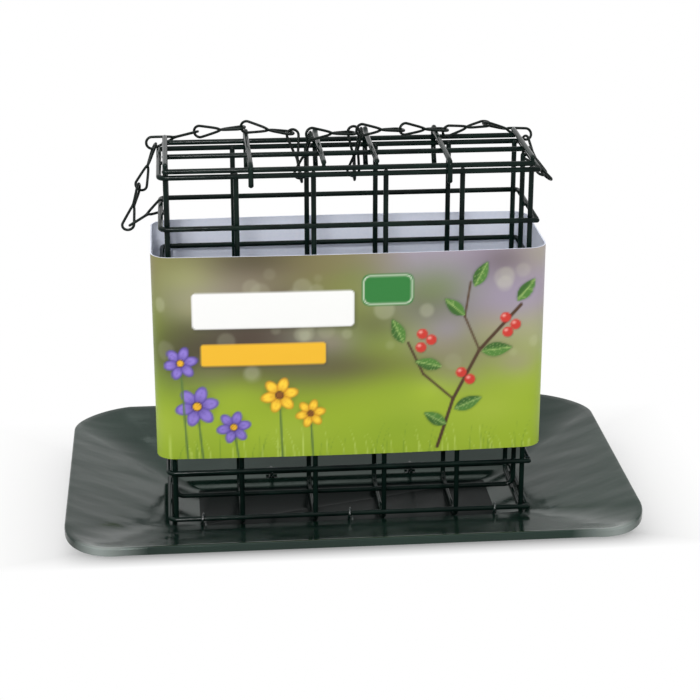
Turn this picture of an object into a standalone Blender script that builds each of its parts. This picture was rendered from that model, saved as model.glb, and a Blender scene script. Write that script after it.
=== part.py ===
"""Hanging suet feeder: welded wire basket, hinged wire lid, seed tray, card sleeve and hanging chain."""
import bpy
from math import asin, atan2, cos, hypot, pi, sin
from mathutils import Vector

# Main sizes, in metres
wire_dia = 0.0020
wire_gap = 0.0003
ring_half_x = 0.0718
ring_half_y = 0.02185
ring_bend = 0.0024
ring_tip_out = 0.0009
ring_base_z = 0.0062
ring_pitch = 0.02006
ring_count = 8
hoop_bend = 0.0034
hoop_top_over = 0.0009
hoop_inner_x = 0.01375
hoop_outer_x = 0.043
corner_hoop_z = 0.0047
end_hoop_z = 0.0065

# Lid wires, heights taken from the rim wire's centre
lid_lift = 0.0024
lid_end_gap = 0.0012
lid_end_inset = 0.0013
lid_catch_x = 0.0375
lid_loop_x = 0.010
lid_front_over = 0.00105
lid_back_over = 0.00075
catch_drop = 0.004
catch_top = 0.0032
catch_round = 0.0015
hook_reach = 0.02
hook_profile = (
    (0.00115, 0.0062),
    (0.00295, 0.0054),
    (0.00335, 0.003),
    (0.00235, -0.003),
    (-0.00105, -0.0085),
)

# Tray of pressed sheet
sheet = 0.001
floor_inset_x = 0.0119
floor_inset_y = 0.0064
floor_corner = 0.0015
well_room_x = 0.0001
well_room_y = 0.00185
well_top_z = 0.004
well_corner = 0.0045
rim_half_x = 0.112
rim_half_y = 0.0706
rim_z = 0.0183
rim_corner = 0.0225
rim_droop = 0.001
rim_roll = 0.0008
skirt_drop = 0.0031

# Ties that hold the tray to the lowest ring
tie_dia = 0.0011
tie_leg_out = 0.00105
tie_pitch = 0.0014
tie_foot = 0.0027
tie_foot_z = 0.00095
tie_bend = 0.0009
tie_inset = 0.0014
slot_length = 0.0046
slot_depth = 0.004

# Card sleeve
card = 0.0005
sleeve_room_x = 0.0043
sleeve_room_y = 0.00315
sleeve_bulge = 0.0018
sleeve_corner = 0.007
sleeve_base_z = 0.0339
sleeve_top_drop = 0.03012

# Chain of double-loop links
link_length = 0.0209
link_bend = 0.0023
link_dia = 0.0011
link_waist = 0.00072
link_twist = 0.00085

wire_sides = 8
link_sides = 6
bend_steps = 5
tie_steps = 12
loop_steps = 8
corner_steps = 7
side_steps = 4

rim_wire_z = ring_base_z + ring_pitch * (ring_count - 1)
hoop_step = wire_dia + wire_gap
hoop_half_y = ring_half_y - hoop_step
corner_hoop_x = ring_half_x - ring_bend
end_hoop_x = ring_half_x - hoop_step
hoop_floor_z = sheet + wire_gap + wire_dia / 2
lid_long_z = rim_wire_z + lid_lift
lid_long_half = ring_half_x - lid_end_gap
lid_end_x = lid_long_half - lid_end_inset
well_half_x = ring_half_x + well_room_x
well_half_y = ring_half_y + well_room_y
floor_half_x = well_half_x - floor_inset_x
floor_half_y = well_half_y - floor_inset_y
tie_leg_y = ring_half_y + tie_leg_out
tie_front_x = floor_half_x - tie_inset
tie_back_x = tie_front_x / 2
sleeve_half_x = ring_half_x + sleeve_room_x
sleeve_half_y = ring_half_y + sleeve_room_y
sleeve_height = rim_wire_z - sleeve_top_drop - sleeve_base_z
lid_cross_z = lid_long_z + hoop_step
hinge = Vector((0, ring_half_y, rim_wire_z))

# Each link: piece it rides with, centre in link lengths from the rim wire's middle, direction of the
# second loop, width direction of the first loop
chain_place_shares = (
    ("root", (-3.659, 0.253, -1.032), (-0.656, -0.73, -0.192), (-0.502, 0.232, 0.833)),
    ("root", (-3.939, 0.241, -0.891), (0.252, 0.703, 0.666), (-0.963, 0.247, 0.104)),
    ("root", (-3.657, 0.859, -0.29), (0.316, 0.624, 0.714), (0.897, 0.05, -0.44)),
    ("lid", (-3.178, 1.161, 0.179), (0.976, 0.035, 0.217), (-0.219, 0.252, 0.943)),
    ("lid", (-2.289, 1.041, 0.345), (0.945, -0.295, 0.142), (-0.138, 0.033, 0.99)),
    ("lid", (-1.397, 0.839, 0.375), (0.981, -0.15, -0.124), (0.123, -0.018, 0.992)),
    ("lid", (-0.859, 0.636, -0.086), (0.162, -0.309, -0.937), (0.987, 0.061, 0.151)),
    ("lid", (-0.725, 0.371, -0.018), (0.212, -0.268, 0.94), (0.977, 0.069, -0.201)),
    ("lid", (-0.235, 0.395, 0.39), (0.94, 0.329, -0.085), (0.079, 0.03, 0.996)),
    ("lid", (0.204, 0.455, -0.013), (0, -0.216, -0.976), (1, 0.005, -0.001)),
    ("lid", (0.239, 0.263, 0.048), (0.149, -0.23, 0.962), (0.989, 0.032, -0.145)),
    ("lid", (0.68, 0.348, 0.448), (0.917, 0.383, -0.111), (0.096, 0.059, 0.994)),
    ("lid", (1.541, 0.674, 0.36), (0.94, 0.321, -0.116), (0.108, 0.045, 0.993)),
    ("lid", (2.395, 0.986, 0.301), (0.939, 0.336, 0.074), (0.008, -0.238, 0.971)),
    ("lid", (3.215, 1.145, 0.207), (0.946, 0.131, -0.295), (0.242, -0.893, 0.38)),
    ("root", (3.671, 0.822, -0.25), (0.261, -0.802, -0.537), (0.363, -0.433, 0.825)),
    ("root", (3.66, 0.326, -0.282), (-0.581, -0.417, 0.699), (-0.486, 0.867, 0.113)),
)


def clear_scene():
    for thing in list(bpy.data.objects):
        bpy.data.objects.remove(thing, do_unlink=True)


def material(name, colour, metallic, roughness):
    finish = bpy.data.materials.new(name)
    finish.use_nodes = True
    shader = finish.node_tree.nodes["Principled BSDF"]
    shader.inputs["Base Color"].default_value = (*colour, 1)
    shader.inputs["Metallic"].default_value = metallic
    shader.inputs["Roughness"].default_value = roughness
    finish.diffuse_color = (*colour, 1)
    return finish


def add_object(name, points, faces, finish, origin=Vector((0, 0, 0)), smooth=True):
    mesh = bpy.data.meshes.new(name)
    mesh.from_pydata([Vector(p) - origin for p in points], [], faces)
    mesh.polygons.foreach_set("use_smooth", [smooth] * len(faces))
    mesh.materials.append(finish)
    mesh.update()
    thing = bpy.data.objects.new(name, mesh)
    thing.location = origin
    bpy.context.scene.collection.objects.link(thing)
    return thing


def turned(points, bend, steps):
    """Rounds each inner corner of a path with an arc of the given bend radius."""
    path = [Vector(p) for p in points]
    out = [path[0]]
    for before, corner, after in zip(path, path[1:], path[2:]):
        into = (before - corner).normalized()
        away = (after - corner).normalized()
        angle = into.angle(away)
        back = bend / abs(pi / 2 if angle == 0 else sin(angle / 2) / cos(angle / 2))
        middle = corner + (into + away).normalized() * (bend / sin(angle / 2))
        start = corner + into * back - middle
        end = corner + away * back - middle
        swing = start.angle(end)
        for step in range(steps + 1):
            share = step / steps
            spot = (start * sin((1 - share) * swing) + end * sin(share * swing)) / sin(swing)
            out.append(middle + spot)
    out.append(path[-1])
    return out


def wire(name, points, dia, sides, finish, closed=False, origin=Vector((0, 0, 0))):
    """A round wire along a path, as one closed body."""
    path = [Vector(p) for p in points]
    count = len(path)
    tangents = []
    for index, spot in enumerate(path):
        if closed:
            ahead = path[(index + 1) % count] - spot
            behind = spot - path[index - 1]
        else:
            ahead = path[min(index + 1, count - 1)] - path[min(index, count - 2)]
            behind = path[max(index, 1)] - path[max(index - 1, 0)]
        tangents.append((ahead.normalized() + behind.normalized()).normalized())
    side = tangents[0].orthogonal().normalized()
    sideways = []
    for index, tangent in enumerate(tangents):
        if index:
            side = tangents[index - 1].rotation_difference(tangent) @ side
            side = (side - tangent * side.dot(tangent)).normalized()
        sideways.append(side.copy())
    slip = 0
    if closed:
        around = tangents[-1].rotation_difference(tangents[0]) @ sideways[-1]
        slip = atan2(around.cross(sideways[0]).dot(tangents[0]), around.dot(sideways[0]))
    corners = []
    for index, spot in enumerate(path):
        across = tangents[index].cross(sideways[index])
        for corner in range(sides):
            angle = 2 * pi * (corner + 1 / 2) / sides + slip * index / count
            corners.append(spot + (sideways[index] * cos(angle) + across * sin(angle)) * (dia / 2))
    faces = []
    for index in range(count if closed else count - 1):
        first = index * sides
        second = ((index + 1) % count) * sides
        for corner in range(sides):
            beside = (corner + 1) % sides
            faces.append((first + corner, first + beside, second + beside, second + corner))
    if not closed:
        faces.append(tuple(reversed(range(sides))))
        faces.append(tuple(range((count - 1) * sides, count * sides)))
    return add_object(name, corners, faces, finish, origin)


def ring_path(height):
    left, right = -ring_half_x, ring_half_x
    front, back = -ring_half_y, ring_half_y
    stop = front + wire_dia / 2 + wire_gap
    corners = ((right + ring_tip_out, front), (left, front), (left, back), (right, back), (right, stop))
    return turned([(x, y, height) for x, y in corners], ring_bend, bend_steps)


def basket(finish):
    for index in range(ring_count):
        path = ring_path(ring_base_z + ring_pitch * index)
        wire(f"basket_ring_{index + 1}", path, wire_dia, wire_sides, finish)
    top = rim_wire_z + hoop_top_over
    places = (-corner_hoop_x, -hoop_outer_x, -hoop_inner_x, hoop_inner_x, hoop_outer_x, corner_hoop_x)
    for index, x in enumerate(places):
        low = corner_hoop_z if abs(x) == corner_hoop_x else hoop_floor_z
        corners = ((-hoop_half_y, top), (-hoop_half_y, low), (hoop_half_y, low), (hoop_half_y, top))
        path = turned([(x, y, z) for y, z in corners], hoop_bend, bend_steps)
        wire(f"basket_hoop_{index + 1}", path, wire_dia, wire_sides, finish)
    corners = ((-end_hoop_x, top), (-end_hoop_x, end_hoop_z), (end_hoop_x, end_hoop_z), (end_hoop_x, top))
    path = turned([(x, 0, z) for x, z in corners], hoop_bend, bend_steps)
    wire("basket_end_hoop", path, wire_dia, wire_sides, finish)


def lid(finish):
    for label, y in (("front", -ring_half_y), ("middle", 0), ("back", ring_half_y)):
        ends = [(-lid_long_half, y, lid_long_z), (lid_long_half, y, lid_long_z)]
        wire(f"lid_long_wire_{label}", ends, wire_dia, wire_sides, finish, origin=hinge)
    front = -ring_half_y - lid_front_over
    for index, x in enumerate((-lid_end_x, -lid_catch_x, -lid_loop_x, lid_loop_x, lid_catch_x, lid_end_x)):
        catches = abs(x) == lid_catch_x
        start = [(x, front, lid_cross_z)]
        if catches:
            catch_y = -ring_half_y - hoop_step
            start = [(x, catch_y, rim_wire_z - catch_drop), (x, catch_y, rim_wire_z + catch_top)]
            start.append((x, catch_y + catch_round, lid_cross_z))
        if abs(x) == lid_end_x:
            end = [(x, ring_half_y + lid_back_over, lid_cross_z)]
        else:
            end = [(x, hook_reach, lid_cross_z)]
            end += [(x, ring_half_y + out, rim_wire_z + up) for out, up in hook_profile]
        path = start + end
        wire(f"lid_cross_wire_{index + 1}", path, wire_dia, wire_sides, finish, origin=hinge)


def outline(half_x, half_y, corner, height, droop=0):
    """One level loop of the tray: four round corners and stepped sides, anticlockwise from the front."""
    points = []
    turns = ((1, -1, -pi / 2), (1, 1, 0), (-1, 1, pi / 2), (-1, -1, pi))
    for index, (right, up, start) in enumerate(turns):
        middle = (right * (half_x - corner), up * (half_y - corner))
        for step in range(corner_steps + 1):
            angle = start + pi / 2 * step / corner_steps
            low = droop * sin(pi * step / corner_steps)
            points.append((middle[0] + corner * cos(angle), middle[1] + corner * sin(angle), height - low))
        ahead_right, ahead_up, ahead_start = turns[(index + 1) % len(turns)]
        ahead = (ahead_right * (half_x - corner), ahead_up * (half_y - corner))
        next_spot = (ahead[0] + corner * cos(ahead_start), ahead[1] + corner * sin(ahead_start))
        last = points[-1]
        for step in range(1, side_steps):
            share = step / side_steps
            x = last[0] + (next_spot[0] - last[0]) * share
            y = last[1] + (next_spot[1] - last[1]) * share
            points.append((x, y, height))
    return points


def tray(finish):
    out = rim_roll
    inner_x = rim_half_x - sheet
    inner_y = rim_half_y - sheet
    inner_corner = rim_corner + out - sheet
    loops = [
        outline(floor_half_x, floor_half_y, floor_corner, sheet),
        outline(well_half_x, well_half_y, well_corner, well_top_z),
        outline(rim_half_x - out, rim_half_y - out, rim_corner, rim_z, rim_droop),
        outline(rim_half_x, rim_half_y, rim_corner + out, rim_z - out, rim_droop),
        outline(rim_half_x, rim_half_y, rim_corner + out, rim_z - skirt_drop, rim_droop),
        outline(inner_x, inner_y, inner_corner, rim_z - skirt_drop, rim_droop),
        outline(inner_x, inner_y, inner_corner, rim_z - out - sheet, rim_droop),
        outline(well_half_x, well_half_y, well_corner, well_top_z - sheet),
        outline(floor_half_x, floor_half_y, floor_corner, 0),
    ]
    count = len(loops[0])
    points = [p for loop in loops for p in loop]
    faces = [tuple(range(count))]
    for level in range(len(loops) - 1):
        for index in range(count):
            beside = (index + 1) % count
            low = level * count
            high = low + count
            faces.append((low + beside, low + index, high + index, high + beside))
    last = (len(loops) - 1) * count
    faces.append(tuple(reversed(range(last, last + count))))
    body = add_object("tray", points, faces, finish, smooth=False)
    for index, (x, side) in enumerate(tie_places()):
        cutter_points = []
        half_wide = tie_dia / 2 + wire_gap
        for z in (-slot_depth + well_top_z / 2, slot_depth + well_top_z / 2):
            for right, deep in ((-1, -1), (1, -1), (1, 1), (-1, 1)):
                cutter_points.append((x + right * slot_length / 2, side * tie_leg_y + deep * half_wide, z))
        cutter_faces = [(3, 2, 1, 0), (4, 5, 6, 7), (0, 1, 5, 4), (1, 2, 6, 5), (2, 3, 7, 6), (3, 0, 4, 7)]
        cutter = add_object(f"slot_cutter_{index + 1}", cutter_points, cutter_faces, finish, smooth=False)
        cutter.hide_render = True
        cutter.display_type = "WIRE"
        cut = body.modifiers.new(f"slot_{index + 1}", "BOOLEAN")
        cut.operation = "DIFFERENCE"
        cut.solver = "EXACT"
        cut.object = cutter


def tie_places():
    front = [(x, -1) for x in (-tie_front_x, 0, tie_front_x)]
    return front + [(x, 1) for x in (-tie_back_x, tie_back_x)]


def ties(finish):
    eye = wire_dia / 2 + wire_gap + tie_dia / 2
    lean = asin((tie_leg_y - ring_half_y) / eye)
    for index, (x, side) in enumerate(tie_places()):
        path = [(x - tie_pitch / 2 - tie_foot, side * tie_leg_y, tie_foot_z)]
        path.append((x - tie_pitch / 2 - tie_bend, side * tie_leg_y, tie_foot_z))
        path.append((x - tie_pitch / 2, side * tie_leg_y, tie_foot_z + tie_bend))
        for step in range(tie_steps + 1):
            angle = lean + 2 * pi * step / tie_steps
            along = x + tie_pitch * (step / tie_steps - 1 / 2)
            path.append((along, side * (ring_half_y + eye * sin(angle)), ring_base_z - eye * cos(angle)))
        path.append((x + tie_pitch / 2, side * tie_leg_y, tie_foot_z + tie_bend))
        path.append((x + tie_pitch / 2 + tie_bend, side * tie_leg_y, tie_foot_z))
        path.append((x + tie_pitch / 2 + tie_foot, side * tie_leg_y, tie_foot_z))
        wire(f"tray_tie_{index + 1}", path, tie_dia, link_sides, finish)


def sleeve(finish):
    loops = []
    for height in (sleeve_base_z, sleeve_base_z + sleeve_height):
        for inset in (0, card):
            half_x = sleeve_half_x - inset
            half_y = sleeve_half_y - inset
            loop = []
            for x, y, z in outline(half_x, half_y, sleeve_corner - inset, height):
                middle = 1 - min(1, abs(x) / sleeve_half_x) ** 2
                bow = sleeve_bulge * middle * (1 if y > 0 else -1)
                loop.append((x, y + bow, z))
            loops.append(loop)
    count = len(loops[0])
    points = [p for loop in loops for p in loop]
    faces = []
    for index in range(count):
        beside = (index + 1) % count
        for low, high in ((0, 2), (2, 3), (3, 1), (1, 0)):
            a, b = low * count, high * count
            faces.append((a + index, a + beside, b + beside, b + index))
    add_object("card_sleeve", points, faces, finish)


def half_loop():
    """One loop of a link in its own plane, from one strand of the waist to the other."""
    middle = link_length / 2 - link_bend
    reach = middle - link_twist
    lean = asin(link_bend / hypot(reach, link_waist)) - atan2(link_waist, reach)
    points = [(link_twist, link_waist)]
    for step in range(loop_steps + 1):
        angle = (pi / 2 + lean) * (1 - 2 * step / loop_steps)
        points.append((middle + link_bend * cos(angle), link_bend * sin(angle)))
    points.append((link_twist, -link_waist))
    return points


def chain(finish):
    for index, (holder, centre, along, across) in enumerate(chain_place_shares):
        middle = Vector(centre) * link_length + Vector((0, 0, rim_wire_z))
        along = Vector(along).normalized()
        across = Vector(across)
        across = (across - along * across.dot(along)).normalized()
        upright = along.cross(across)
        path = [middle - along * p + across * q for p, q in reversed(half_loop())]
        path += [middle + along * p + upright * q for p, q in half_loop()]
        origin = hinge if holder == "lid" else middle
        name = f"chain_link_{index + 1}"
        wire(name, path, link_dia, link_sides, finish, closed=True, origin=origin)


def build():
    clear_scene()
    green_wire = material("green_wire", (0.012, 0.022, 0.018), 0, 0.35)
    dark_chain = material("dark_chain", (0.012, 0.018, 0.016), 0, 0.4)
    green_sheet = material("green_sheet", (0.02, 0.04, 0.033), 0, 0.25)
    printed_card = material("printed_card", (0.3, 0.33, 0.16), 0, 0.45)
    basket(green_wire)
    lid(green_wire)
    tray(green_sheet)
    ties(green_wire)
    sleeve(printed_card)
    chain(dark_chain)


build()
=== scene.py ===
from math import asin, atan2, cos, hypot, pi, radians, sin

import bpy
import numpy as np
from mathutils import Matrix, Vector


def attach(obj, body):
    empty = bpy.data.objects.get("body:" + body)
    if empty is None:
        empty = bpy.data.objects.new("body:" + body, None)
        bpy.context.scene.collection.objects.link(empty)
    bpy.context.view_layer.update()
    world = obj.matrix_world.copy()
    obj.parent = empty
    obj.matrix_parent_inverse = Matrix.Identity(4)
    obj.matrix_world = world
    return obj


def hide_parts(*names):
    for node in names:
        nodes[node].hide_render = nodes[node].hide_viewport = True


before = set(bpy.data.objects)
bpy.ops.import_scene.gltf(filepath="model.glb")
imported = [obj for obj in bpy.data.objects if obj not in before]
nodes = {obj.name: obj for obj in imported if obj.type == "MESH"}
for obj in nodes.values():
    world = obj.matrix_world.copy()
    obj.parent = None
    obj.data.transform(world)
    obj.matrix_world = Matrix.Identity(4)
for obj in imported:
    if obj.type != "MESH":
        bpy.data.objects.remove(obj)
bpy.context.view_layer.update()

scene = bpy.context.scene
print("stage: frame loaded,", len(nodes), "CAD nodes")


def paint(hexCode):
    channels = [int(hexCode[i:i + 2], 16) / 255 for i in (0, 2, 4)]
    linear = [c / 12.92 if c <= 0.04045 else ((c + 0.055) / 1.055) ** 2.4 for c in channels]
    return (*linear, 1.0)


def newMaterial(name):
    mat = bpy.data.materials.new(name)
    mat.use_nodes = True
    tree = mat.node_tree
    return mat, tree, tree.nodes["Principled BSDF"]


def noiseOn(tree, coord, scale, detail=3.0, rough=0.5, stretch=None):
    source = coord
    if stretch:
        mapping = tree.nodes.new("ShaderNodeMapping")
        mapping.inputs["Scale"].default_value = stretch
        tree.links.new(coord, mapping.inputs["Vector"])
        source = mapping.outputs["Vector"]
    noise = tree.nodes.new("ShaderNodeTexNoise")
    noise.inputs["Scale"].default_value = scale
    noise.inputs["Detail"].default_value = detail
    noise.inputs["Roughness"].default_value = rough
    tree.links.new(source, noise.inputs["Vector"])
    return noise.outputs["Fac"]


def remap(tree, value, low, high, fromLow=0.3, fromHigh=0.7):
    node = tree.nodes.new("ShaderNodeMapRange")
    node.inputs["From Min"].default_value = fromLow
    node.inputs["From Max"].default_value = fromHigh
    node.inputs["To Min"].default_value = low
    node.inputs["To Max"].default_value = high
    tree.links.new(value, node.inputs["Value"])
    return node.outputs["Result"]


def calc(tree, operation, first, second=0.0):
    node = tree.nodes.new("ShaderNodeMath")
    node.operation = operation
    for slot, value in enumerate((first, second)):
        if isinstance(value, (int, float)):
            node.inputs[slot].default_value = value
        else:
            tree.links.new(value, node.inputs[slot])
    return node.outputs[0]


def placeOn(tree):
    # the place on the piece, how far it lies to either side, and how far back
    coord = tree.nodes.new("ShaderNodeTexCoord").outputs["Object"]
    split = tree.nodes.new("ShaderNodeSeparateXYZ")
    tree.links.new(coord, split.inputs[0])
    return coord, calc(tree, "ABSOLUTE", split.outputs["X"]), split.outputs["Y"]


def blendColours(tree, value, first, second):
    node = tree.nodes.new("ShaderNodeMix")
    node.data_type = "RGBA"
    for slot, colour in ((6, first), (7, second)):
        if isinstance(colour, tuple):
            node.inputs[slot].default_value = colour
        else:
            tree.links.new(colour, node.inputs[slot])
    tree.links.new(value, node.inputs["Factor"])
    return node.outputs[2]


def addBump(tree, shader, height, distance, strength=1.0):
    bump = tree.nodes.new("ShaderNodeBump")
    bump.inputs["Strength"].default_value = strength
    bump.inputs["Distance"].default_value = distance
    tree.links.new(height, bump.inputs["Height"])
    tree.links.new(bump.outputs["Normal"], shader.inputs["Normal"])


def coatedWireMaterial(name, look):
    mat, tree, shader = newMaterial(name)
    coord = tree.nodes.new("ShaderNodeTexCoord").outputs["Object"]
    broad = noiseOn(tree, coord, look["patchScale"], 2.0)
    tree.links.new(blendColours(tree, remap(tree, broad, 0, 1), paint(look["dark"]), paint(look["light"])),
                   shader.inputs["Base Color"])
    fine = noiseOn(tree, coord, look["grainScale"], 4.0)
    tree.links.new(remap(tree, fine, look["roughLow"], look["roughHigh"]), shader.inputs["Roughness"])
    addBump(tree, shader, noiseOn(tree, coord, look["dripScale"], 2.0), look["dripHeight"])
    shader.inputs["Coat Weight"].default_value = look["coat"]
    shader.inputs["Coat Roughness"].default_value = look["coatRough"]
    shader.inputs["Specular IOR Level"].default_value = look["specular"]
    return mat


basketLook = {"dark": "06100e", "light": "10201b", "patchScale": 90, "grainScale": 1500, "dripScale": 420,
              "roughLow": 0.07, "roughHigh": 0.17, "dripHeight": 0.00005, "coat": 0.0, "coatRough": 0.12,
              "specular": 0.1}
chainLook = {"dark": "0a110f", "light": "18211d", "patchScale": 160, "grainScale": 1800, "dripScale": 600,
             "roughLow": 0.14, "roughHigh": 0.3, "dripHeight": 0.00005, "coat": 0.0, "coatRough": 0.2,
             "specular": 0.12}
tieLook = {"dark": "0a1513", "light": "142420", "patchScale": 200, "grainScale": 1500, "dripScale": 700,
           "roughLow": 0.03, "roughHigh": 0.08, "dripHeight": 0.00005, "coat": 0.6, "coatRough": 0.02,
           "specular": 0.4}
greenWire = coatedWireMaterial("coatedGreenWire", basketLook)
glossWire = coatedWireMaterial("dippedTieWire", tieLook)
darkLink = coatedWireMaterial("coatedChainWire", chainLook)


def spreadTree(name, build):
    tree = bpy.data.node_groups.new(name, "GeometryNodeTree")
    tree.interface.new_socket("Geometry", in_out="INPUT", socket_type="NodeSocketGeometry")
    tree.interface.new_socket("Geometry", in_out="OUTPUT", socket_type="NodeSocketGeometry")
    build(tree)
    return tree


def treeInput(tree, label, kind):
    tree.interface.new_socket(label, in_out="INPUT", socket_type=kind)


def wireTreeBuild(tree):
    treeInput(tree, "Wire radius", "NodeSocketFloat")
    treeInput(tree, "Sides", "NodeSocketInt")
    treeInput(tree, "Finish", "NodeSocketMaterial")
    start = tree.nodes.new("NodeGroupInput")
    end = tree.nodes.new("NodeGroupOutput")
    toCurve = tree.nodes.new("GeometryNodeMeshToCurve")
    taper = tree.nodes.new("GeometryNodeInputNamedAttribute")
    taper.data_type = "FLOAT"
    taper.inputs["Name"].default_value = "tipScale"
    circle = tree.nodes.new("GeometryNodeCurvePrimitiveCircle")
    tube = tree.nodes.new("GeometryNodeCurveToMesh")
    tube.inputs["Fill Caps"].default_value = True
    smooth = tree.nodes.new("GeometryNodeSetShadeSmooth")
    solid = tree.nodes.new("GeometryNodeRealizeInstances")
    finish = tree.nodes.new("GeometryNodeSetMaterial")
    link = tree.links.new
    link(start.outputs["Geometry"], toCurve.inputs[0])
    link(start.outputs["Wire radius"], circle.inputs["Radius"])
    link(start.outputs["Sides"], circle.inputs["Resolution"])
    link(toCurve.outputs[0], tube.inputs["Curve"])
    link(circle.outputs[0], tube.inputs["Profile Curve"])
    link(taper.outputs["Attribute"], tube.inputs["Scale"])
    link(tube.outputs[0], smooth.inputs[0])
    link(smooth.outputs[0], solid.inputs[0])
    link(solid.outputs[0], finish.inputs["Geometry"])
    link(start.outputs["Finish"], finish.inputs["Material"])
    link(finish.outputs[0], end.inputs[0])


wireTree = spreadTree("wireAlongPath", wireTreeBuild)


def socketNamed(tree, label):
    for item in tree.interface.items_tree:
        if item.name == label and item.in_out == "INPUT":
            return item.identifier


def settled(carrier, tree, values, name):
    grow = carrier.modifiers.new("grow", "NODES")
    grow.node_group = tree
    for label, value in values.items():
        grow[socketNamed(tree, label)] = value
    ready = carrier.evaluated_get(bpy.context.evaluated_depsgraph_get())
    mesh = bpy.data.meshes.new_from_object(ready)
    mesh.name = name
    finished = bpy.data.objects.new(name, mesh)
    scene.collection.objects.link(finished)
    carrier.modifiers.remove(grow)
    old = carrier.data
    bpy.data.objects.remove(carrier)
    bpy.data.meshes.remove(old)
    return finished


def rounded(points, bend, steps):
    path = [Vector(p) for p in points]
    out = [path[0]]
    for before, corner, after in zip(path, path[1:], path[2:]):
        into = (before - corner).normalized()
        away = (after - corner).normalized()
        angle = into.angle(away)
        back = bend * cos(angle / 2) / sin(angle / 2)
        middle = corner + (into + away).normalized() * (bend / sin(angle / 2))
        first = corner + into * back - middle
        last = corner + away * back - middle
        swing = first.angle(last)
        for step in range(steps + 1):
            share = step / steps
            spot = (first * sin((1 - share) * swing) + last * sin(share * swing)) / sin(swing)
            out.append(middle + spot)
    out.append(path[-1])
    return out


# places along a wire's rounded tip, as shares of its radius, and the least share left at the very end
dome = {"shares": (1.0, 0.92, 0.7, 0.38), "least": 0.05}


def domedEnds(path, radius):
    shares = dome["shares"]

    def oneEnd(tip, inner):
        away = (tip - inner).normalized()
        return ([tip - away * radius * (1 - s) for s in shares],
                [max(dome["least"], (1 - s * s) ** 0.5) for s in shares])

    firstSpots, firstScale = oneEnd(path[0], path[1])
    lastSpots, lastScale = oneEnd(path[-1], path[-2])
    spots = firstSpots + [path[0] + (path[1] - path[0]).normalized() * radius]
    scales = firstScale + [1.0]
    spots += path[1:-1]
    scales += [1.0] * (len(path) - 2)
    spots += [path[-1] + (path[-2] - path[-1]).normalized() * radius] + lastSpots[::-1]
    scales += [1.0] + lastScale[::-1]
    return spots, scales


def layWire(name, path, dia, sides, finish, closed=False):
    spots, scales = (list(path), [1.0] * len(path)) if closed else domedEnds(list(path), dia / 2)
    edges = [(i, i + 1) for i in range(len(spots) - 1)]
    if closed:
        edges.append((len(spots) - 1, 0))
    mesh = bpy.data.meshes.new(name + "Path")
    mesh.from_pydata(spots, edges, [])
    mesh.attributes.new("tipScale", "FLOAT", "POINT").data.foreach_set("value", scales)
    carrier = bpy.data.objects.new(name + "Path", mesh)
    scene.collection.objects.link(carrier)
    return settled(carrier, wireTree, {"Wire radius": dia / 2, "Sides": sides, "Finish": finish}, name)


def dress(piece, body, *replaced):
    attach(piece, body)
    if replaced:
        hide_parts(*replaced)


# basket
basket = {"wireDia": 0.0020, "gap": 0.0003, "halfX": 0.0718, "halfY": 0.02185, "bend": 0.0024, "tipOut": 0.0009,
          "baseZ": 0.0062, "pitch": 0.02006, "rings": 8, "hoopBend": 0.0034, "topOver": 0.0009,
          "hoopX": (-0.0694, -0.043, -0.01375, 0.01375, 0.043, 0.0694), "cornerZ": 0.0047, "endZ": 0.0065,
          "sheet": 0.001, "sides": 16, "steps": 8}
step = basket["wireDia"] + basket["gap"]
rimZ = basket["baseZ"] + basket["pitch"] * (basket["rings"] - 1)
hoopY = basket["halfY"] - step
endX = basket["halfX"] - step
hoopFloor = basket["sheet"] + basket["gap"] + basket["wireDia"] / 2


def basketWires():
    x, y = basket["halfX"], basket["halfY"]
    stop = -y + basket["wireDia"] / 2 + basket["gap"]
    corners = ((x + basket["tipOut"], -y), (-x, -y), (-x, y), (x, y), (x, stop))
    for index in range(basket["rings"]):
        z = basket["baseZ"] + basket["pitch"] * index
        path = rounded([(a, b, z) for a, b in corners], basket["bend"], basket["steps"])
        ring = layWire(f"ringWire{index + 1}", path, basket["wireDia"], basket["sides"], greenWire)
        dress(ring, "feeder", f"basket_ring_{index + 1}")
    top = rimZ + basket["topOver"]
    for index, place in enumerate(basket["hoopX"]):
        low = basket["cornerZ"] if abs(place) == max(basket["hoopX"]) else hoopFloor
        turns = ((-hoopY, top), (-hoopY, low), (hoopY, low), (hoopY, top))
        path = rounded([(place, a, b) for a, b in turns], basket["hoopBend"], basket["steps"])
        hoop = layWire(f"hoopWire{index + 1}", path, basket["wireDia"], basket["sides"], greenWire)
        dress(hoop, "feeder", f"basket_hoop_{index + 1}")
    low = basket["endZ"]
    turns = ((-endX, top), (-endX, low), (endX, low), (endX, top))
    path = rounded([(a, 0, b) for a, b in turns], basket["hoopBend"], basket["steps"])
    hoop = layWire("endHoopWire", path, basket["wireDia"], basket["sides"], greenWire)
    dress(hoop, "feeder", "basket_end_hoop")


basketWires()
print("stage: basket wires")

# lid
lid = {"lift": 0.0024, "longHalf": 0.0706, "endX": 0.0693, "catchX": 0.0375, "loopX": 0.010,
       "frontOver": 0.00105, "backOver": 0.00075, "catchDrop": 0.004, "catchTop": 0.0032, "catchRound": 0.0015,
       "reach": 0.02, "cuts": 2,
       "hook": ((0.00115, 0.0062), (0.00295, 0.0054), (0.00335, 0.003), (0.00235, -0.003), (-0.00105, -0.0085))}
longZ = rimZ + lid["lift"]
crossX = (-lid["endX"], -lid["catchX"], -lid["loopX"], lid["loopX"], lid["catchX"], lid["endX"])


def smoothed(points, rounds):
    # each round cuts every corner at a quarter of its two sides
    path = [Vector(p) for p in points]
    for _ in range(rounds):
        out = [path[0]]
        for a, b in zip(path, path[1:]):
            out += [a.lerp(b, 0.25), a.lerp(b, 0.75)]
        out.append(path[-1])
        path = out
    return path


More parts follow.
